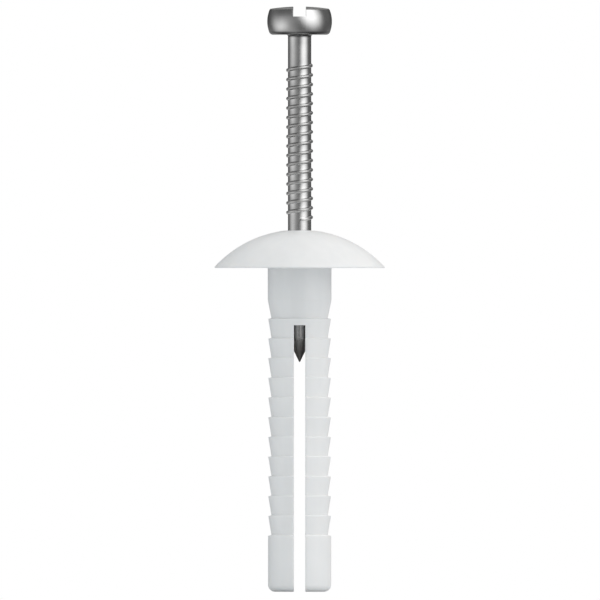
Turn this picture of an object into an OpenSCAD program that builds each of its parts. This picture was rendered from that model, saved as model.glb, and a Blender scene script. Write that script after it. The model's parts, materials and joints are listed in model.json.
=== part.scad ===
// Hammer fixing plug: a mushroom-headed plastic wall plug with a nail screw standing in its bore.
// Z runs along the axis, out of the wall, and Z = 0 is the underside of the mushroom head.
// Both slots, the plug's split and the nail's drive slot, run along Y.

/* [Plug shank] */
// Length of the plug below its head
plug_length = 30; // [26:0.5:60]
// Diameter of the plain neck under the head
neck_d = 5.9; // [4.5:0.05:8]
// Length of the plain neck
neck_length = 2.95; // [1:0.05:6]
// Length of the cone from the neck to the root of the first tooth
neck_taper = 1.7; // [0.5:0.05:4]
// Diameter over the crests of the saw teeth
tooth_d = 5.8; // [4.5:0.05:8]
// Depth of a saw tooth, from crest to root
tooth_depth = 0.29; // [0.1:0.01:0.6]
// Aimed distance from one tooth to the next, stretched to fill the toothed stretch
tooth_pitch = 1.83; // [1:0.01:4]
// Drop of a tooth's nearly level upper face, from root to crest
tooth_step = 0.06; // [0.05:0.01:0.6]
// Diameter of the plain foot
foot_d = 5.85; // [4.5:0.05:8]
// Length of the plain foot
foot_length = 5.25; // [2:0.05:10]
// Radius of the foot's rounded rim
foot_round = 0.65; // [0.1:0.05:1.2]

/* [Plug split] */
// Width of the slot that splits the shank into two legs
split_w = 1.05; // [0.5:0.05:2]
// Distance from the head to the top of the split
split_start = 5.3; // [3:0.1:15]

/* [Mushroom head] */
// Diameter of the mushroom head
cap_d = 15.75; // [10:0.25:24]
// Height of the mushroom head
cap_h = 3.56; // [2:0.02:6]
// Height of the upright rim at the edge of the head
cap_rim = 0.12; // [0.05:0.01:1]

/* [Nail] */
// Diameter of the nail's shank
shank_d = 2.16; // [1.6:0.02:3]
// Distance from the driven nail's point to the foot of the plug
point_stop = 3.2; // [1:0.1:6]
// Length of the cone at the nail's point
point_length = 2.15; // [1:0.05:5]
// Diameter of the blunt end of the point
point_flat_d = 0.1; // [0.05:0.01:0.5]
// How far the nail stands out of its driven place
drive_travel = 18.1; // [4:0.1:24]

/* [Nail head] */
// Largest diameter of the nail's head
head_d = 6; // [4.5:0.05:8]
// Height of the nail's head
head_h = 2.62; // [1.6:0.02:4]
// Height of the head's widest place above its underside
head_wide_h = 1.24; // [1:0.02:1.5]
// Radius of the head's bulging side, seen from the side
head_bulge_r = 2.85; // [2:0.05:12]
// Radius of the head's slightly domed top
head_crown_r = 18; // [8:0.5:60]
// Radius of the head's rounded upper edge
head_edge_r = 0.22; // [0.05:0.01:0.4]
// Radius of the head's rounded lower edge
head_low_r = 0.4; // [0.05:0.01:0.6]
// Radius of the fillet between head and shank
fillet_r = 0.16; // [0.05:0.01:0.18]
// Width of the drive slot
drive_slot_w = 1.16; // [0.5:0.02:2]
// Depth of the drive slot at the middle of the head
drive_slot_depth = 0.92; // [0.3:0.02:1.4]

/* [Nail thread] */
// Height of the thread's ridge above the shank
ridge_h = 0.16; // [0.08:0.01:0.4]
// Width of the ridge where it leaves the shank
ridge_base_w = 0.34; // [0.2:0.02:0.6]
// Width of the ridge's flat crest
ridge_crest_w = 0.2; // [0.05:0.01:0.3]
// Rise of the thread in one turn
thread_pitch = 0.88; // [0.8:0.02:2]
// Distance from the nail's head to the upper end of the thread
thread_start = 2.62; // [0.5:0.01:6]
// Length of the thread along the nail
thread_length = 14.55; // [4:0.05:18]
// Turns over which the ridge runs out at each end
thread_runout = 0.3; // [0.1:0.05:1]
// Angle of the thread's upper end about the axis
thread_angle = 90; // [0:5:360]

/* [Clearances] */
// Gap around the thread in the upper bore
thread_gap = 0.04; // [0.02:0.01:0.2]
// Gap around the shank in the lower bore
shank_gap = 0.03; // [0.02:0.01:0.2]
// Gap left under the driven nail's head
seat_gap = 0.03; // [0.02:0.01:0.3]
// Room below the thread and below the point of the driven nail
end_gap = 0.4; // [0.1:0.05:1]

/* [Hidden] */
$fn = 96;
arc_steps = 12;
thread_steps = 24;
cut_over = 1;

neck_r = neck_d / 2;
crest_r = tooth_d / 2;
root_r = crest_r - tooth_depth;
foot_r = foot_d / 2;
cap_r = cap_d / 2;
shank_r = shank_d / 2;
head_r = head_d / 2;

// The toothed stretch lies between the neck's cone and the foot, and whole teeth fill it.
teeth_top = neck_length + neck_taper;
teeth_span = plug_length - foot_length - teeth_top;
tooth_count = max(1, round(teeth_span / tooth_pitch));
tooth_rise = teeth_span / tooth_count;

// The cap is a slice of a ball that stands on the upright rim.
crown_h = cap_h - cap_rim;
ball_r = (cap_r * cap_r + crown_h * crown_h) / (2 * crown_h);

// The upper bore clears the thread, and the driven head stops just over its rim.
upper_bore_r = shank_r + ridge_h + thread_gap;
lower_bore_r = shank_r + shank_gap;
bore_rim_z = cap_h - ball_r + sqrt(ball_r * ball_r - upper_bore_r * upper_bore_r);
seat_z = bore_rim_z + seat_gap;
nail_length = seat_z + plug_length - point_stop;
nail_z = seat_z + drive_travel;

// Levels of the stepped bore, which follows the driven nail.
upper_bore_end = seat_z - thread_start - thread_length - end_gap;
lower_bore_end = seat_z - nail_length + point_length - end_gap;

// The ridge's root is sunk below the shank's surface, where its flanks carry on at the same slope.
ridge_sink = ridge_h / 2;
ridge_root_r = shank_r - 2 * ridge_sink;
ridge_flare = (ridge_base_w - ridge_crest_w) / 2 / ridge_h;
ridge_root_w = ridge_base_w + 4 * ridge_sink * ridge_flare;
thread_turns = thread_length / thread_pitch;
ridge_sections = ceil(thread_turns * thread_steps);

// Points of an arc in the half-plane of radius and height
function arc(centre, r, from, to) = [
    for (i = [0:arc_steps])
        let (a = from + (to - from) * i / arc_steps)
        [centre[0] + r * cos(a), centre[1] + r * sin(a)]
];

// Half section of the plug's shank: neck, cone, saw teeth and rounded foot, from the head downwards
function sleeve_section() = concat(
    [[0, 0], [neck_r, 0], [neck_r, -neck_length]],
    [
        for (i = [0:tooth_count - 1])
            let (top = -teeth_top - i * tooth_rise)
            each [[root_r, top], [crest_r, top - tooth_step]]
    ],
    [[root_r, foot_length - plug_length], [foot_r, foot_length - plug_length - tooth_step]],
    arc([foot_r - foot_round, foot_round - plug_length], foot_round, 0, -90),
    [[0, -plug_length]]
);

// Half section of the nail, with the underside of its head at zero height. The round edges touch
// the bulging side, the domed top and the flat underside without a corner.
function nail_section() =
    let (
        bulge_c = [head_r - head_bulge_r, head_wide_h],
        crown_c = [0, head_h - head_crown_r],
        low_reach = head_bulge_r - head_low_r,
        reach = head_bulge_r - head_edge_r,
        crown_reach = head_crown_r - head_edge_r,
        apart = norm(bulge_c - crown_c),
        along = (crown_reach * crown_reach - reach * reach + apart * apart) / (2 * apart),
        aside = sqrt(crown_reach * crown_reach - along * along),
        ahead = (bulge_c - crown_c) / apart,
        top_c = crown_c + along * ahead + aside * [ahead[1], -ahead[0]],
        low_drop = head_wide_h - head_low_r,
        low_c = [bulge_c[0] + sqrt(low_reach * low_reach - low_drop * low_drop), head_low_r],
        crown_a = atan2(top_c[1] - crown_c[1], top_c[0] - crown_c[0]),
        side_top_a = atan2(top_c[1] - bulge_c[1], top_c[0] - bulge_c[0]),
        side_low_a = atan2(low_c[1] - bulge_c[1], low_c[0] - bulge_c[0])
    )
    concat(
        arc(crown_c, head_crown_r, 90, crown_a),
        arc(top_c, head_edge_r, crown_a, side_top_a),
        arc(bulge_c, head_bulge_r, side_top_a, side_low_a),
        arc(low_c, head_low_r, side_low_a, -90),
        arc([shank_r + fillet_r, -fillet_r], fillet_r, 90, 180),
        [
            [shank_r, point_length - nail_length],
            [point_flat_d / 2, -nail_length],
            [0, -nail_length]
        ]
    );

// Section of the ridge at a share s of the thread, as radius and height from the ridge's middle
function ridge_section(s) =
    let (
        turn = s * thread_turns,
        full = min(1, turn / thread_runout, (thread_turns - turn) / thread_runout),
        crest = shank_r - ridge_sink + full * (ridge_h + ridge_sink)
    )
    [
        [ridge_root_r, -ridge_root_w / 2],
        [crest, -ridge_crest_w / 2],
        [crest, ridge_crest_w / 2],
        [ridge_root_r, ridge_root_w / 2]
    ];

// Right-hand helical ridge of the nail, from its upper end downwards
module thread_ridge() {
    points = [
        for (i = [0:ridge_sections])
            let (
                s = i / ridge_sections,
                a = thread_angle - 360 * thread_turns * s,
                z = -thread_start - thread_length * s
            )
            for (p = ridge_section(s)) [p[0] * cos(a), p[0] * sin(a), z + p[1]]
    ];
    sides = [
        for (i = [0:ridge_sections - 1])
            for (k = [0:3])
                let (a = 4 * i + k, b = 4 * i + (k + 1) % 4)
                each [[a, a + 4, b + 4], [a, b + 4, b]]
    ];
    last = 4 * ridge_sections;
    ends = [[0, 1, 2, 3], [last + 3, last + 2, last + 1, last]];
    polyhedron(points, concat(sides, ends));
}

// Mushroom head: a slice of a ball on an upright rim
module cap() {
    cylinder(r = cap_r, h = cap_rim);
    intersection() {
        translate([0, 0, cap_h - ball_r]) sphere(r = ball_r);
        translate([0, 0, cap_rim]) cylinder(r = cap_r, h = cap_h);
    }
}

// Stepped bore for the nail, with a pointed blind end
module nail_bore() {
    translate([0, 0, upper_bore_end]) cylinder(r = upper_bore_r, h = cap_h + cut_over - upper_bore_end);
    translate([0, 0, lower_bore_end]) cylinder(r = lower_bore_r, h = cap_h - lower_bore_end);
    translate([0, 0, lower_bore_end - point_length])
        cylinder(r1 = point_flat_d / 2, r2 = lower_bore_r, h = point_length);
}

// White moulded plug: mushroom head, toothed shank and two legs in one piece
module plug_sleeve() {
    color("whitesmoke")
    difference() {
        union() {
            cap();
            rotate_extrude() polygon(sleeve_section());
        }
        nail_bore();
        translate([-split_w / 2, -cap_r, -plug_length - cut_over])
            cube([split_w, cap_d, plug_length + cut_over - split_start]);
    }
}

// Bright steel nail screw: slotted head, threaded shank and point in one piece
module drive_nail() {
    color("silver")
    translate([0, 0, nail_z])
    difference() {
        union() {
            rotate_extrude() polygon(nail_section());
            thread_ridge();
        }
        translate([-drive_slot_w / 2, -head_d, head_h - drive_slot_depth])
            cube([drive_slot_w, 2 * head_d, drive_slot_depth + cut_over]);
    }
}

plug_sleeve();
drive_nail();
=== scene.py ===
import json
import math

import bmesh
import bpy
import numpy as np
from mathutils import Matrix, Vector


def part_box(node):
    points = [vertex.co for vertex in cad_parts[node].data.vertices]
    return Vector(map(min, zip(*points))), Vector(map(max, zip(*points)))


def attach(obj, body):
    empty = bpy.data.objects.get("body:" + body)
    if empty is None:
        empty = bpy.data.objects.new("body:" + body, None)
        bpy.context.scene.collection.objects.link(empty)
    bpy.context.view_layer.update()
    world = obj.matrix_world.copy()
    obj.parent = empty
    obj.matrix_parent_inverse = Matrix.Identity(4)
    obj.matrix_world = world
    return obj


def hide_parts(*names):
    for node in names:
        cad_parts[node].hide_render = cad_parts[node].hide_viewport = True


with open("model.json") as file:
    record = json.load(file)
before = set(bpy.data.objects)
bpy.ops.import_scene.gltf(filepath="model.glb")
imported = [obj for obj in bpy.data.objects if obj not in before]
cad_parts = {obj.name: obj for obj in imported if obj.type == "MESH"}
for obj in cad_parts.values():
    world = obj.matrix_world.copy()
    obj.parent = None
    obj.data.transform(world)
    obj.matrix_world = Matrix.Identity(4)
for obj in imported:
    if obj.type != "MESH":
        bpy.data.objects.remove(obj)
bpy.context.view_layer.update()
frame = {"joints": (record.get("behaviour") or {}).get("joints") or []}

# Plug sleeve
# The wall plug, injection-moulded in one shot of white polyamide: a mushroom head, a plain neck, rings
# of saw teeth and a plain foot. It is bored for the nail, and one slot splits it into two legs.
mm = 0.001
plug_low, plug_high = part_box("plug_sleeve")
cap_r = plug_high.x
mouth_z = plug_high.z
mouth_round = 0.05 * mm
rim_h = 0.12 * mm
rim_top_round = 0.04 * mm
rim_low_round = 0.05 * mm
neck_r = 2.95 * mm
neck_length = 2.95 * mm
neck_fillet = 0.08 * mm
neck_round = 0.6 * mm
teeth_top = -4.65 * mm
tooth_count = 11
tooth_crest_r = 2.9 * mm
tooth_crest_round = 0.025 * mm
tooth_root_r = 2.61 * mm
tooth_root_round = 0.03 * mm
tooth_step = 0.06 * mm
foot_z = plug_low.z
foot_r = 2.925 * mm
foot_top = foot_z + 5.25 * mm
foot_top_round = 0.06 * mm
foot_round = 0.65 * mm
slot_half = 0.525 * mm
slot_top = -5.3 * mm
slot_edge = 0.06 * mm
bore_r = 1.28 * mm
bore_floor = -14.06 * mm
low_bore_r = 1.11 * mm
low_bore_top = -14.12 * mm
low_bore_floor = -25.05 * mm
bore_tip_r = 0.05 * mm
bore_tip = -27.2 * mm
arc_step = math.radians(15)
crisp_angle = math.radians(40)


def rounded(corners):
    """Outline through points of (radius, height, round), with each corner eased by an arc of its round."""
    line = [corners[0][:2]]
    for before, here, after in zip(corners, corners[1:], corners[2:]):
        corner = Vector(here[:2])
        back = (Vector(before[:2]) - corner).normalized()
        ahead = (Vector(after[:2]) - corner).normalized()
        if not here[2]:
            line.append(corner[:])
            continue
        half = back.angle(ahead) / 2
        reach = here[2] / math.tan(half)
        centre = corner + (back + ahead).normalized() * (here[2] / math.sin(half))
        steps = max(2, math.ceil((math.pi - 2 * half) / arc_step))
        start = (corner + back * reach - centre).normalized()
        end = (corner + ahead * reach - centre).normalized()
        line += [(centre + start.slerp(end, i / steps) * here[2])[:] for i in range(steps + 1)]
    return line + [corners[-1][:2]]


class Skin:
    """Collects the points and faces of one surface, row by row."""

    def __init__(self):
        self.points = []
        self.faces = []

    def row(self, points):
        """Adds points and gives their numbers."""
        start = len(self.points)
        self.points += points
        return list(range(start, len(self.points)))

    def sheet(self, rows):
        """Faces between each row and the next. Where two rows share a point, a face has three corners."""
        for first, second in zip(rows, rows[1:]):
            for quad in zip(first, first[1:], second[1:], second):
                corners = tuple(dict.fromkeys(quad))
                if len(corners) > 2:
                    self.faces.append(corners)

    def tube(self, rows):
        """A sheet whose rows close on themselves."""
        self.sheet([row + row[:1] for row in rows])

    def piece(self, name, sharp_angle):
        """The mesh object, shaded smooth across every edge that turns less than an angle."""
        mesh = bpy.data.meshes.new(name)
        mesh.from_pydata(self.points, [], self.faces)
        work = bmesh.new()
        work.from_mesh(mesh)
        bmesh.ops.recalc_face_normals(work, faces=work.faces)
        for face in work.faces:
            face.smooth = True
        for edge in work.edges:
            edge.smooth = edge.calc_face_angle(0) < sharp_angle
        work.to_mesh(mesh)
        work.free()
        obj = bpy.data.objects.new(name, mesh)
        bpy.context.scene.collection.objects.link(obj)
        obj.modifiers.new("even_shading", "WEIGHTED_NORMAL").keep_sharp = True
        return obj


def circle_point(radius, angle, height):
    return (radius * math.cos(angle), radius * math.sin(angle), height)


def spread(first, last, steps):
    """Evenly spaced numbers from first to last, both included."""
    return [first + (last - first) * i / steps for i in range(steps + 1)]


# The outline runs up the bore, over the cap and down the outside to the foot's end. The cap is a slice of
# a ball through its rim and the mouth of the bore.
dome_steps = 30
ball_z = (bore_r**2 + mouth_z**2 - cap_r**2 - rim_h**2) / (2 * (mouth_z - rim_h))
ball_r = math.hypot(cap_r, rim_h - ball_z)
dome_angles = spread(math.asin(bore_r / ball_r), math.asin(cap_r / ball_r), dome_steps)[1:-1]
tooth_h = (teeth_top - foot_top) / tooth_count
section = [(bore_r, slot_top, 0), (bore_r, mouth_z, mouth_round)]
section += [(ball_r * math.sin(a), ball_z + ball_r * math.cos(a), 0) for a in dome_angles]
section += [(cap_r, rim_h, rim_top_round), (cap_r, 0, rim_low_round)]
section += [(neck_r, 0, neck_fillet), (neck_r, -neck_length, neck_round)]
for i in range(tooth_count):
    root_z = teeth_top - i * tooth_h
    crest_z = root_z - tooth_step
    section += [(tooth_root_r, root_z, tooth_root_round), (tooth_crest_r, crest_z, tooth_crest_round)]
section += [(tooth_root_r, foot_top, foot_top_round), (foot_r, foot_top - tooth_step, foot_top_round)]
section += [(foot_r, foot_z, foot_round), (slot_half, foot_z, 0)]
outline = rounded(section)[:-1]

# Above the slot the sleeve is round. Below it, the outline carries on as the two legs.
first_low = next(i for i, point in enumerate(outline) if point[1] < slot_top)
low_radii, low_heights = zip(*reversed(outline[first_low - 1:]))


def leg_radius(z):
    """Radius of the outside of the legs at a height."""
    return float(np.interp(z, low_heights, low_radii))


slot_top_r = leg_radius(slot_top)
outer_steps = 44
edge_steps = 3
gap_steps = 8
wall_steps = 5
bore_steps = outer_steps + 2 * edge_steps
bore_angle = math.acos(slot_half / bore_r)


def edge_centre(radius, wall, ease):
    """Reach along the slot, and angle, of the centre of the small round between the outside and a wall."""
    reach = math.sqrt((radius - ease) ** 2 - (wall + ease) ** 2)
    return reach, math.atan2(reach, wall + ease)


def side_angles(radius, wall, ease, steps):
    """Angles of the outside of the right half of a slotted round, with a few for each of its edges."""
    corner = math.acos(wall / radius)
    edge = edge_centre(radius, wall, ease)[1]
    angles = spread(-corner, -edge, edge_steps)[:-1]
    angles += spread(-edge, edge, steps)
    return angles + spread(edge, corner, edge_steps)[1:]


def gap_angles(radius, half, steps):
    """Angles of the stretch over a slot at the back, between the two halves."""
    return [math.atan2(math.sqrt(radius**2 - x**2), x) for x in spread(half, -half, steps)[1:-1]]


def ring_angles(side, gap):
    """Angles all round: right half, back gap, left half, front gap."""
    left = [math.pi - a for a in reversed(side)]
    return side + gap + left + [a + math.pi for a in gap]


def split_side(radius, z, wall, ease, steps):
    """Outside of the right half of a slotted round, from its front edge to its back edge, and the reach
    along the slot of the flat of its wall."""
    reach, angle = edge_centre(radius, wall, ease)
    front = [circle_point(ease, a, z) for a in spread(math.pi, 2 * math.pi - angle, edge_steps)]
    side = [(x + wall + ease, y - reach, z) for x, y, z in front[:-1]]
    side += [circle_point(radius, a, z) for a in spread(-angle, angle, steps)]
    side += [(x, -y, z) for x, y, z in reversed(side[:edge_steps])]
    return side, reach


outer_side = side_angles(slot_top_r, slot_half, slot_edge, outer_steps)
outer_ring = ring_angles(outer_side, gap_angles(slot_top_r, slot_half, gap_steps))
bore_side = spread(-bore_angle, bore_angle, bore_steps)
bore_ring = ring_angles(bore_side, gap_angles(bore_r, slot_half, gap_steps))

# The columns of points ease from the bore's spacing to the outside's on their way over the cap.
sleeve_skin = Skin()
round_rows = []
upper_line = outline[:first_low] + [(slot_top_r, slot_top)]
widest = max(range(len(upper_line)), key=lambda i: upper_line[i][0])
for i, (r, z) in enumerate(upper_line):
    turn = (cap_r - r) / (cap_r - bore_r) if i < widest else 0
    angles = [a + (b - a) * turn for a, b in zip(outer_ring, bore_ring)]
    round_rows.append(sleeve_skin.row([circle_point(r, a, z) for a in angles]))
sleeve_skin.tube(round_rows)

# Each end of the slot's roof is a small sheet between the outside and the bore.
half_ring = bore_steps + gap_steps
outer_row = round_rows[-1] + round_rows[-1][:1]
bore_row = round_rows[0] + round_rows[0][:1]
roof = []
for end in (0, half_ring):
    outer_gap = outer_row[end + bore_steps:end + half_ring + 1]
    bore_gap = bore_row[end + bore_steps:end + half_ring + 1]
    rows = [outer_gap]
    for share in spread(0, 1, wall_steps)[1:-1]:
        inner = []
        for a, b in zip(outer_gap, bore_gap):
            inner.append(Vector(sleeve_skin.points[a]).lerp(Vector(sleeve_skin.points[b]), share)[:])
        rows.append(sleeve_skin.row(inner))
    rows.append(bore_gap)
    sleeve_skin.sheet(rows)
    roof.append(rows)
back_roof, front_roof = roof
bore_heights = [bore_tip, low_bore_floor, low_bore_top, bore_floor]
bore_radii = [bore_tip_r, low_bore_r, low_bore_r, bore_r]


def leg_loop(z):
    """Outline of the right leg at a height: from its front edge round the outside, back along the slot."""
    bore = float(np.interp(z, bore_heights, bore_radii))
    lift = min(slot_edge, max(0, slot_edge - (z - foot_z)))
    wall = slot_half + slot_edge - math.sqrt(slot_edge**2 - lift**2)
    loop, reach = split_side(leg_radius(z), z, wall, slot_edge, outer_steps)
    groove = max(math.sqrt(max(bore**2 - wall**2, 0)), slot_half / 2)
    loop += [(wall, y, z) for y in spread(reach, groove, wall_steps)[1:-1]]
    for a in spread(bore_angle, -bore_angle, bore_steps):
        y = groove * math.sin(a) / math.sin(bore_angle)
        loop.append((max(wall, math.sqrt(max(bore**2 - y**2, 0))), y, z))
    loop += [(wall, y, z) for y in spread(-groove, -reach, wall_steps)[1:-1]]
    return loop


# The legs have a row of points close under the roof, one at each height of the outline and the bore, and
# more down the upper part of the bore's cone.
roof_drop = 0.12 * mm
cone_fine_h = 1.5 * mm
cone_steps = 10
leg_levels = [slot_top - roof_drop] + [z for r, z in outline[first_low:]] + bore_heights
leg_levels += spread(low_bore_floor, low_bore_floor - cone_fine_h, cone_steps)[1:]
leg_levels = sorted(set(leg_levels), reverse=True)
back_wall = [row[0] for row in back_roof]
front_wall = [row[-1] for row in front_roof]
right_top = outer_row[:bore_steps + 1] + back_wall[1:-1]
right_top += bore_row[:bore_steps + 1][::-1] + front_wall[-2:0:-1]
back_wall = [row[-1] for row in back_roof]
front_wall = [row[0] for row in front_roof]
left_top = outer_row[half_ring:half_ring + bore_steps + 1][::-1] + back_wall[1:-1]
left_top += bore_row[half_ring:half_ring + bore_steps + 1] + front_wall[-2:0:-1]
for top, side in ((right_top, 1), (left_top, -1)):
    rows = [top]
    for level in leg_levels:
        rows.append(sleeve_skin.row([(side * x, y, z) for x, y, z in leg_loop(level)]))
    sleeve_skin.tube(rows)
    sleeve_skin.faces.append(tuple(rows[-1]))
sleeve = sleeve_skin.piece("sleeve", crisp_angle)


class Wire:
    """A shader socket that is added, multiplied and taken from a number as numbers are."""

    def __init__(self, tree, socket=None):
        self.tree = tree
        self.socket = socket

    def add(self, kind, settings, sockets, output=0):
        """Adds a node with its settings and the values or links of its sockets, and gives one output."""
        node = self.tree.nodes.new("ShaderNode" + kind)
        for name, value in settings.items():
            setattr(node, name, value)
        for name, value in sockets.items():
            if isinstance(value, Wire):
                self.tree.links.new(value.socket, node.inputs[name])
            else:
                node.inputs[name].default_value = value
        return Wire(self.tree, node.outputs[output] if node.outputs else None)

    def maths(self, operation, first, second):
        return self.add("Math", {"operation": operation}, {0: first, 1: second})

    def __add__(self, other):
        return self.maths("ADD", self, other)

    def __rsub__(self, other):
        return self.maths("SUBTRACT", other, self)

    def __mul__(self, other):
        return self.maths("MULTIPLY", self, other)

    __radd__ = __add__
    __rmul__ = __mul__

    def ramp(self, low, high):
        """0 below low, 1 above high, and a smooth rise between them."""
        sockets = {"Value": self, "From Min": low, "From Max": high}
        return self.add("MapRange", {"interpolation_type": "SMOOTHSTEP"}, sockets)

    def mix(self, first, second):
        """One colour where this is 0, the other where it is 1. Sockets 6, 7 and output 2 are colours."""
        return self.add("Mix", {"data_type": "RGBA"}, {0: self, 6: first, 7: second}, 2)

    def scaled(self, shares):
        """This place, with each axis times its share."""
        return self.add("VectorMath", {"operation": "MULTIPLY"}, {0: self, 1: shares})

    def noise(self, scale, detail):
        """Noise over this place."""
        return self.add("TexNoise", {}, {"Vector": self, "Scale": scale, "Detail": detail})


def new_material(name):
    """An empty material, and the wire that adds its nodes."""
    material = bpy.data.materials.new(name)
    material.use_nodes = True
    material.node_tree.nodes.clear()
    return material, Wire(material.node_tree)


# White polyamide: a satin skin with the fine grain of a spark-eroded mould and faint streaks of flow.
shade_white = (0.825, 0.83, 0.832, 1)
clear_white = (0.86, 0.862, 0.863, 1)
flow_stretch = (1, 1, 0.12)
flow_scale = 900
flow_share = 0.6
cloud_scale = 260
grain_scale = 11000
grain_depth = 0.012 * mm
soft_range = (0.3, 0.7)
plug_plastic, paint = new_material("white_polyamide")
place = paint.add("TexCoord", {}, {}, "Object")
flow = place.scaled(flow_stretch).noise(flow_scale, 3)
cloud = place.noise(cloud_scale, 2)
grain = place.noise(grain_scale, 3)
tone = flow.ramp(*soft_range) * flow_share + cloud.ramp(*soft_range) * (1 - flow_share)
white = tone.mix(shade_white, clear_white)
skin_bump = paint.add("Bump", {}, {"Strength": 0.25, "Distance": grain_depth, "Height": grain})
plastic_sockets = {
    "Base Color": white,
    "Roughness": 0.36 + 0.1 * cloud + 0.06 * grain,
    "IOR": 1.53,
    "Subsurface Weight": 0.15,
    "Subsurface Radius": (1.0, 0.9, 0.8),
    "Subsurface Scale": 0.5 * mm,
    "Normal": skin_bump,
}
plastic = paint.add("BsdfPrincipled", {}, plastic_sockets)
paint.add("OutputMaterial", {}, {"Surface": plastic})
sleeve.data.materials.append(plug_plastic)
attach(sleeve, "plug")
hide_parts("plug_sleeve")

# Drive nail
# The nail screw, cold-headed from steel wire, thread-rolled and bright zinc-plated: a barrel head with a
# straight drive slot, a low right-hand thread and a pressed point. It stands in the bore of the sleeve.
nail_travel = frame["joints"][0]["range_m"][1]
seat_gap = 0.03 * mm
head_z = mouth_z + seat_gap + nail_travel
tip_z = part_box("drive_nail")[0].z
head_r = 3 * mm
head_h = 2.62 * mm
wide_h = 1.24 * mm
bulge_r = 2.85 * mm
crown_r = 18 * mm
top_round = 0.22 * mm
low_round = 0.4 * mm
head_fillet = 0.16 * mm
drive_half = 0.58 * mm
drive_depth = 0.92 * mm
drive_floor = head_h - drive_depth
drive_edge = 0.02 * mm
shank_r = 1.08 * mm
point_length = 2.15 * mm
point_round = 0.2 * mm
tip_r = 0.05 * mm
tip_round = 0.02 * mm
pitch = 0.88 * mm
thread_start = 2.62 * mm
thread_length = 14.55 * mm
thread_turns = thread_length / pitch
runout_turns = 0.3
plain_turns = 0.65
ridge_h = 0.16 * mm
ridge_base = 0.34 * mm
ridge_base_round = 0.02 * mm
ridge_crest = 0.2 * mm
ridge_crest_round = 0.1 * mm


def crown_height(x, y):
    """Height of the domed top above the head's underside."""
    return head_h - crown_r + math.sqrt(crown_r**2 - x**2 - y**2)


def arc(centre, radius, first, last, steps):
    """Points of an arc in the plane of radius and height, between two directions."""
    start = math.atan2(first.y, first.x)
    end = math.atan2(last.y, last.x)
    return [(centre + radius * Vector((math.cos(a), math.sin(a))))[:] for a in spread(start, end, steps)]


# The side bulges as an arc. A round joins it to the flat underside, and another to the domed top.
fillet_steps = 6
low_steps = 8
bulge_steps = 14
top_steps = 6
crown_inset = 0.05 * mm
inward = Vector((-1, 0))
upward = Vector((0, 1))
bulge = Vector((head_r - bulge_r, wide_h))
crown = Vector((0, head_h - crown_r))
low_reach = math.sqrt((bulge_r - low_round) ** 2 - (wide_h - low_round) ** 2)
low_edge = Vector((bulge.x + low_reach, low_round))
to_bulge = bulge - crown
apart = to_bulge.length
ahead = to_bulge.normalized()
edge_ahead = ((crown_r - top_round) ** 2 - (bulge_r - top_round) ** 2 + apart**2) / (2 * apart)
edge_aside = math.sqrt((crown_r - top_round) ** 2 - edge_ahead**2)
top_edge = crown + edge_ahead * ahead + edge_aside * Vector((ahead.y, -ahead.x))
fillet = Vector((shank_r + head_fillet, -head_fillet))
crown_start = top_edge.x - crown_inset
head_line = [(shank_r, -thread_start / 2)] + arc(fillet, head_fillet, inward, upward, fillet_steps)
head_line += arc(low_edge, low_round, -upward, low_edge - bulge, low_steps)
head_line += arc(bulge, bulge_r, low_edge - bulge, top_edge - bulge, bulge_steps)[1:]
head_line += arc(top_edge, top_round, top_edge - bulge, top_edge - crown, top_steps)[1:]
head_line.append((crown_start, crown_height(crown_start, 0)))
first_lobe = next(i for i, point in enumerate(head_line) if point[1] > drive_floor)
floor_radii, floor_heights = zip(*head_line[first_lobe - 1:first_lobe + 1])
floor_r = float(np.interp(drive_floor, floor_heights, floor_radii))

lobe_steps = 40
drive_gap_steps = 10
side_steps = lobe_steps + 2 * edge_steps
half_turn = side_steps + drive_gap_steps
turn_steps = 2 * half_turn
head_side = side_angles(floor_r, drive_half, drive_edge, lobe_steps)
head_ring = ring_angles(head_side, gap_angles(floor_r, drive_half, drive_gap_steps))
even_start = -math.pi / 2 + drive_gap_steps / 2 * math.tau / turn_steps
even_ring = [even_start + i * math.tau / turn_steps for i in range(turn_steps)]

# From the slot's floor down to the top of the thread the nail is round, with the columns of points
# easing from the slot's corners to an even spacing.
nail_skin = Skin()
head_rows = []
for r, z in [(floor_r, drive_floor)] + head_line[:first_lobe][::-1]:
    even = min(1, max(0, (floor_r - r) / (floor_r - shank_r)))
    angles = [a + (b - a) * even for a, b in zip(head_ring, even_ring)]
    head_rows.append(nail_skin.row([circle_point(r, a, head_z + z) for a in angles]))
nail_skin.tube(head_rows)

# The slot's floor is a sheet from front to back between the feet of its two walls.
floor_row = head_rows[0] + head_rows[0][:1]
back_floor = floor_row[side_steps:half_turn + 1]
front_floor = floor_row[half_turn + side_steps:][::-1]
floor_rows = [front_floor]
wall_shares = [-math.cos(math.pi * k / side_steps) for k in range(side_steps + 1)]
for share in wall_shares[1:-1]:
    points = [(x, share * math.sqrt(floor_r**2 - x**2), head_z + drive_floor)
              for x in spread(drive_half, -drive_half, drive_gap_steps)]
    floor_rows.append(nail_skin.row(points))
floor_rows.append(back_floor)
nail_skin.sheet(floor_rows)
edge_runout = 8


def lobe_loop(radius, z, rise, ease):
    """Outline of the right lobe: round the outside from front to back, then back along the slot's wall.
    rise is the share of the wall's height, and ease the angle of the round on its upper edge."""
    loop, reach = split_side(radius, z, drive_half, drive_edge, lobe_steps)
    for share in wall_shares[-2:0:-1]:
        y = share * reach
        edge = drive_edge * (1 - share**edge_runout)
        x = drive_half + edge * (1 - math.cos(ease))
        top = crown_height(drive_half + edge, y) - edge
        loop.append((x, y, drive_floor + (top - drive_floor) * rise + edge * math.sin(ease)))
    return [(x, y, head_z + z) for x, y, z in loop]


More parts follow.
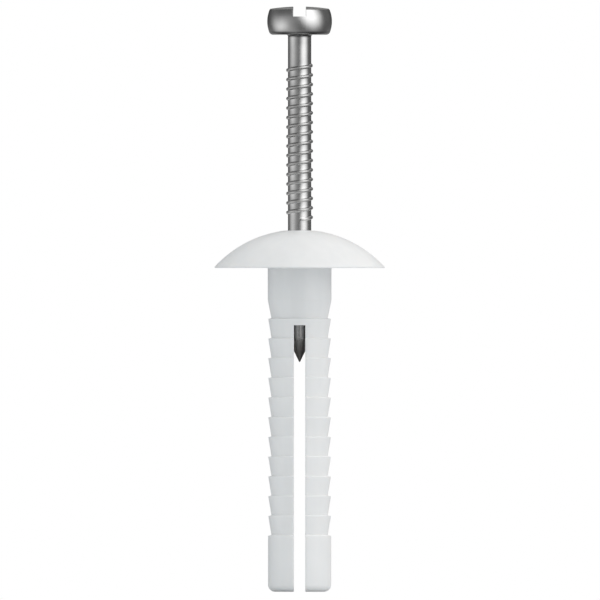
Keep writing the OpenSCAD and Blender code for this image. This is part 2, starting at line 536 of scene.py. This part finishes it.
# Each lobe rises from the slot's floor. Its last rows ease the slot's upper edge, and the domed top is a
# sheet between the outside and the slot.
ease_steps = 4
ease_inset = 0.03 * mm
crown_steps = 10
lobe_line = head_line[first_lobe:]
lobe_top = lobe_line[-1]
lobe_levels = [(r, z, (z - drive_floor) / (lobe_top[1] - drive_floor), 0) for r, z in lobe_line]
for step in range(1, ease_steps + 1):
    r = lobe_top[0] - step * ease_inset
    lobe_levels.append((r, crown_height(r, 0), 1, step * math.pi / (2 * ease_steps)))
right_foot = floor_row[:side_steps + 1] + [row[0] for row in floor_rows[-2:0:-1]]
left_foot = floor_row[half_turn:half_turn + side_steps + 1][::-1]
left_foot += [row[-1] for row in floor_rows[-2:0:-1]]
for foot, side in ((right_foot, 1), (left_foot, -1)):
    rows = [foot]
    for level in lobe_levels:
        rows.append(nail_skin.row([(side * x, y, z) for x, y, z in lobe_loop(*level)]))
    nail_skin.tube(rows)
    outside = rows[-1][:side_steps + 1]
    inside = [outside[0]] + rows[-1][side_steps + 1:][::-1] + [outside[-1]]
    crown_rows = [[outside[0]] * (crown_steps + 1)]
    for a, b in zip(outside[1:-1], inside[1:-1]):
        points = []
        for share in spread(0, 1, crown_steps)[1:-1]:
            x, y, z = Vector(nail_skin.points[a]).lerp(Vector(nail_skin.points[b]), share)
            points.append((x, y, head_z + crown_height(x, y)))
        crown_rows.append([a] + nail_skin.row(points) + [b])
    crown_rows.append([outside[-1]] * (crown_steps + 1))
    nail_skin.sheet(crown_rows)

# The thread is swept down the shank: each section spans one pitch and joins the section one turn on.
ridge_section = [(-pitch / 2, 0, 0), (-ridge_base / 2, 0, ridge_base_round)]
ridge_section.append((-ridge_crest / 2, ridge_h, ridge_crest_round))
ridge_section += [(-drop, height, ease) for drop, height, ease in reversed(ridge_section)]
ridge_line = rounded(ridge_section)
last_section = math.floor(thread_turns * turn_steps)
start_column = side_steps + drive_gap_steps // 2
start_angle = even_ring[start_column]


def ridge_point(section, drop, height):
    """Point of a section of the thread, at a drop below the ridge's middle and a height off the shank."""
    turns = section / turn_steps
    full = max(0, min(1, turns / runout_turns, (last_section / turn_steps - turns) / runout_turns))
    z = head_z - thread_start - pitch * turns - drop
    return circle_point(shank_r + height * full, start_angle - math.tau * turns, z)


thread_edge = nail_skin.row([ridge_point(n, -pitch / 2, 0) for n in range(last_section + turn_steps + 1)])
sections = []
for n in range(last_section + 1):
    inner = nail_skin.row([ridge_point(n, drop, height) for drop, height in ridge_line[1:-1]])
    sections.append([thread_edge[n]] + inner + [thread_edge[n + turn_steps]])
nail_skin.sheet(sections)


def column(row, section):
    """The point of a round row that lies over a section of the thread."""
    return row[(start_column - section) % turn_steps]


# The first turn joins the round row above the thread, and the last turn one below it. Where the ridge
# starts and where it stops, one face takes in the whole section.
upper_row = head_rows[-1]
plain_z = head_z - thread_start - (thread_turns + plain_turns) * pitch
end_row = nail_skin.row([circle_point(shank_r, a, plain_z) for a in even_ring])
for n in range(turn_steps - 1):
    upper_pair = (column(upper_row, n), column(upper_row, n + 1))
    nail_skin.faces.append((*upper_pair, thread_edge[n + 1], thread_edge[n]))
    m = last_section + n + 1
    lower_pair = (column(end_row, m), column(end_row, m + 1))
    nail_skin.faces.append((*lower_pair, thread_edge[m + 1], thread_edge[m]))
upper_pair = (column(upper_row, turn_steps - 1), column(upper_row, 0))
nail_skin.faces.append((*upper_pair, *sections[0], thread_edge[turn_steps - 1]))
lower_pair = (column(end_row, last_section + 1), column(end_row, last_section))
nail_skin.faces.append((*lower_pair, *sections[-1][::-1], thread_edge[last_section + 1]))

# Below the thread the shank is plain, down to the cone of the point.
point_section = [(shank_r, mouth_z, 0), (shank_r, tip_z + point_length, point_round)]
point_section += [(tip_r, tip_z, tip_round), (0, tip_z, 0)]
rows = [end_row]
for r, z in rounded(point_section)[:-1]:
    rows.append(nail_skin.row([circle_point(r, a, z) for a in even_ring]))
nail_skin.tube(rows)
nail_skin.faces.append(tuple(rows[-1]))
nail = nail_skin.piece("nail", crisp_angle)

# Bright zinc over steel wire: fine draw lines down the shank and soft cloudiness. The plating is duller on
# the ridge of the thread and on the top of the head with its slot, and both are painted darker as shade.
# The head's lower rim is painted dark as shade, and the steel below the slot's top is painted dark brown as
# the shade inside the sleeve, down to the point.
dark_zinc = (0.62, 0.62, 0.62, 1)
light_zinc = (0.70, 0.70, 0.695, 1)
# Painted shade: the darker colour of the head's top with its slot, whose plating is also duller.
top_shade_zinc = (0.42, 0.42, 0.415, 1)
# Painted shade: the darker colour of the thread's ridge, whose plating is also duller.
ridge_shade_zinc = (0.6, 0.6, 0.595, 1)
# Painted shade: the dark colour of the head's lower rim and the band just under it.
rim_painted_shade = (0.2, 0.2, 0.2, 1)
# Painted shade: the dark brown of the nail inside the sleeve's slot, down to its point.
slot_shade_steel = (0.27, 0.255, 0.24, 1)
level_only = (1, 1, 0)
draw_stretch = (1, 1, 0.04)
draw_scale = 7000
draw_depth = 0.006 * mm
haze_scale = 700
neck_fade = (head_z - 1.2 * mm, head_z - 0.8 * mm)
ridge_fade = (shank_r + 0.02 * mm, shank_r + 0.09 * mm)
point_fade = (-8.2 * mm, -5.2 * mm)
top_fade = (head_z + drive_floor - 0.2 * mm, head_z + drive_floor - 0.1 * mm)
facing_fade = (0.4, 0.7)
rim_low_fade = (head_z - 0.3 * mm, head_z - 0.1 * mm)
rim_top_fade = (head_z + 0.08 * mm, head_z + 0.42 * mm)
nail_steel, plate = new_material("bright_zinc")
place = plate.add("TexCoord", {}, {}, "Object")
normal = plate.add("TexCoord", {}, {}, "Normal")
height = plate.add("SeparateXYZ", {}, {"Vector": place}, "Z")
facing = plate.add("SeparateXYZ", {}, {"Vector": normal}, "Z")
radius = plate.add("VectorMath", {"operation": "LENGTH"}, {0: place.scaled(level_only)}, "Value")
draw_lines = place.scaled(draw_stretch).noise(draw_scale, 3)
haze = place.noise(haze_scale, 3)
# Painted shade on the thread's ridge, which is also made duller.
ridge_shade_mask = (1 - height.ramp(*neck_fade)) * radius.ramp(*ridge_fade)
# Painted shade on the nail below the top of the sleeve's slot.
slot_shade_mask = 1 - height.ramp(*point_fade)
# Painted shade on the upward-facing top of the head, which is also made duller.
top_shade_mask = facing.ramp(*facing_fade) * height.ramp(*top_fade)
# Painted shade round the head's lower rim.
rim_shade_mask = height.ramp(*rim_low_fade) * (1 - height.ramp(*rim_top_fade))
zinc = haze.ramp(*soft_range).mix(dark_zinc, light_zinc)
top_shaded = top_shade_mask.mix(zinc, top_shade_zinc)
ridge_shaded = ridge_shade_mask.mix(top_shaded, ridge_shade_zinc)
rim_shaded = rim_shade_mask.mix(ridge_shaded, rim_painted_shade)
steel = slot_shade_mask.mix(rim_shaded, slot_shade_steel)
dullness = 0.15 + 0.08 * haze + 0.05 * draw_lines
dullness += 0.13 * (ridge_shade_mask + slot_shade_mask)
dullness += 0.2 * top_shade_mask
metal_bump = plate.add("Bump", {}, {"Strength": 0.15, "Distance": draw_depth, "Height": draw_lines})
metal_sockets = {
    "Base Color": steel,
    "Metallic": 1.0,
    "Roughness": dullness,
    "Normal": metal_bump,
}
metal = plate.add("BsdfPrincipled", {}, metal_sockets)
plate.add("OutputMaterial", {}, {"Surface": metal})
nail.data.materials.append(nail_steel)
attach(nail, "nail")
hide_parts("drive_nail")

# Studio
# A pale table under the foot, even light from all round, two large soft lamps on the right and a weak one
# on the left. Gloss sees a tent of dark cloth instead, with a tall soft panel on the right, a low one on
# the left, and paler cloth behind and above the part.
tent_r = 0.6
tent_top = 88
tent_step = 4
dark_glow = 0.05
cloth_glow = 0.08
right_glow = 1.6
right_slant = 0.55
right_slant_top = 28
left_glow = 0.81
front_glow = 0.18
table_glow = 0.1
low_left_glow = 0.5
back_glow = 0.7


def direction(azimuth, elevation):
    """Unit vector from the part, with azimuth measured to the right of the camera's side."""
    a = math.radians(azimuth)
    e = math.radians(elevation)
    return Vector((math.sin(a) * math.cos(e), -math.cos(a) * math.cos(e), math.sin(e)))


def fade(value, dark, bright):
    """0 at one value, 1 at the other, and a smooth rise between them."""
    share = min(1, max(0, (value - dark) / (bright - dark)))
    return share * share * (3 - 2 * share)


def soft_span(value, start, full, still_full, end):
    """A smooth rise from start to full, times a smooth fall from still_full to end."""
    return fade(value, start, full) * fade(value, end, still_full)


def tent_glow(azimuth, elevation):
    """Brightness of the tent in a direction. The numbers are the edges of its panels, in degrees."""
    turned = abs(azimuth)
    slanted = azimuth + right_slant * min(elevation, right_slant_top)
    right = fade(slanted, -7, 39) * fade(azimuth, 102, 46) * soft_span(elevation, -44, 20, 50, 90)
    left = soft_span(azimuth, -132, -78, -78, -24) * soft_span(elevation, -42, -12, -15, 29)
    front = soft_span(azimuth, -95, -45, -32, 10) * soft_span(elevation, -70, -40, 10, 40)
    cloth = fade(turned, 165, 120) * fade(elevation, -55, -40)
    table = fade(turned, 70, 15) * fade(elevation, -25, -45)
    low_left = soft_span(azimuth, -130, -100, -40, -10) * fade(elevation, -55, -75)
    back_low = fade(turned, 118, 175) * soft_span(elevation, -75, -45, -34, 6)
    back_top = fade(turned, 118, 155) * soft_span(elevation, 18, 46, 62, 88)
    level = dark_glow + cloth_glow * cloth + front_glow * front + table_glow * table
    level += right_glow * right + left_glow * left + low_left_glow * low_left
    return level + back_glow * (back_low + back_top)


tent_skin = Skin()
tent_azimuths = range(-180, 181, tent_step)
tent_elevations = range(-tent_top, tent_top + 1, tent_step)
tent_rows = [tent_skin.row([(direction(a, e) * tent_r)[:] for a in tent_azimuths]) for e in tent_elevations]
tent_skin.sheet(tent_rows)
tent = tent_skin.piece("tent", math.pi)
glow = tent.data.color_attributes.new("glow", "FLOAT_COLOR", "POINT")
tent_levels = [tent_glow(a, e) for e in tent_elevations for a in tent_azimuths]
for point, level in zip(glow.data, tent_levels):
    point.color = (level, level, level, 1)
tent_cloth, wire = new_material("tent_cloth")
cloth_colour = wire.add("VertexColor", {"layer_name": "glow"}, {})
cloth_light = wire.add("Emission", {}, {"Color": cloth_colour})
wire.add("OutputMaterial", {}, {"Surface": cloth_light})
tent.data.materials.append(tent_cloth)
tent.visible_camera = False
tent.visible_diffuse = False
tent.visible_shadow = False
tent.visible_transmission = False
lamp_size = 0.8
lamp_distance = 0.6


def soft_lamp(name, azimuth, elevation, radiance, colour):
    """A large square lamp that faces the part. The tent's panels stand for its glare on metal."""
    data = bpy.data.lights.new(name, "AREA")
    data.size = lamp_size
    data.energy = radiance * math.pi * lamp_size**2
    data.color = colour
    obj = bpy.data.objects.new(name, data)
    bpy.context.scene.collection.objects.link(obj)
    side = direction(azimuth, elevation)
    obj.location = side * lamp_distance
    obj.rotation_euler = side.to_track_quat("Z", "Y").to_euler()
    obj.visible_glossy = False


soft_lamp("key_lamp", azimuth=46, elevation=40, radiance=0.44, colour=(1, 0.965, 0.93))
soft_lamp("side_lamp", azimuth=100, elevation=36, radiance=0.7, colour=(1, 0.965, 0.94))
soft_lamp("fill_lamp", azimuth=-68, elevation=33, radiance=0.22, colour=(0.95, 1, 1))

# The table is one large face that looks up. Seen from below it is clear.
table_half = 2
table_colour = (0.735, 0.757, 0.772, 1)
table_white = (0.95, 0.95, 0.95, 1)
corner_signs = [(-1, -1), (1, -1), (1, 1), (-1, 1)]
floor_points = [(x * table_half, y * table_half, foot_z) for x, y in corner_signs]
floor_mesh = bpy.data.meshes.new("floor")
floor_mesh.from_pydata(floor_points, [], [(0, 1, 2, 3)])
floor = bpy.data.objects.new("floor", floor_mesh)
bpy.context.scene.collection.objects.link(floor)
pale_table, wire = new_material("pale_table")
from_below = wire.add("NewGeometry", {}, {}, "Backfacing")
seen = wire.add("LightPath", {}, {}, "Is Camera Ray")
matt = wire.add("BsdfDiffuse", {}, {"Color": seen.mix(table_colour, table_white)})
clear = wire.add("BsdfTransparent", {}, {})
table_top = wire.add("MixShader", {}, {0: from_below, 1: matt, 2: clear})
wire.add("OutputMaterial", {}, {"Surface": table_top})
floor.data.materials.append(pale_table)
floor.visible_glossy = False

# The room's light is even, and a little stronger from overhead. Where the room is seen it is white.
low_light = (0.6, 0.618, 0.63, 1)
high_light = (0.75, 0.762, 0.765, 1)
room_white = (1, 1, 1, 1)
world = bpy.data.worlds.new("studio")
world.use_nodes = True
world.node_tree.nodes.clear()
sky = Wire(world.node_tree)
camera_ray = sky.add("LightPath", {}, {}, "Is Camera Ray")
glossy_ray = sky.add("LightPath", {}, {}, "Is Glossy Ray")
clear_ray = sky.add("LightPath", {}, {}, "Is Transmission Ray")
shown = sky.maths("MAXIMUM", sky.maths("MAXIMUM", camera_ray, glossy_ray), clear_ray)
way = sky.add("TexCoord", {}, {}, "Generated")
overhead = sky.add("SeparateXYZ", {}, {"Vector": way}, "Z").ramp(0, 1)
room = shown.mix(overhead.mix(low_light, high_light), room_white)
room_glow = sky.add("Background", {}, {"Color": room})
sky.add("OutputWorld", {}, {"Surface": room_glow})
bpy.context.scene.world = world
bpy.context.scene.view_settings.view_transform = "Standard"

# Camera
# Level with the part and square to its slots, as the photograph is, with no perspective.
photo_pixels = 600
pixels_per_mm = 10.79
view_x = 0.037 * mm
view_z = -2.966 * mm
view_distance = 0.3
camera_data = bpy.data.cameras.new("camera")
camera_data.type = "ORTHO"
camera_data.ortho_scale = photo_pixels / pixels_per_mm * mm
camera_data.clip_start = 1 * mm
camera = bpy.data.objects.new("camera", camera_data)
bpy.context.scene.collection.objects.link(camera)
camera.location = (view_x, -view_distance, view_z)
camera.rotation_euler = (math.pi / 2, 0, 0)
bpy.context.scene.camera = camera
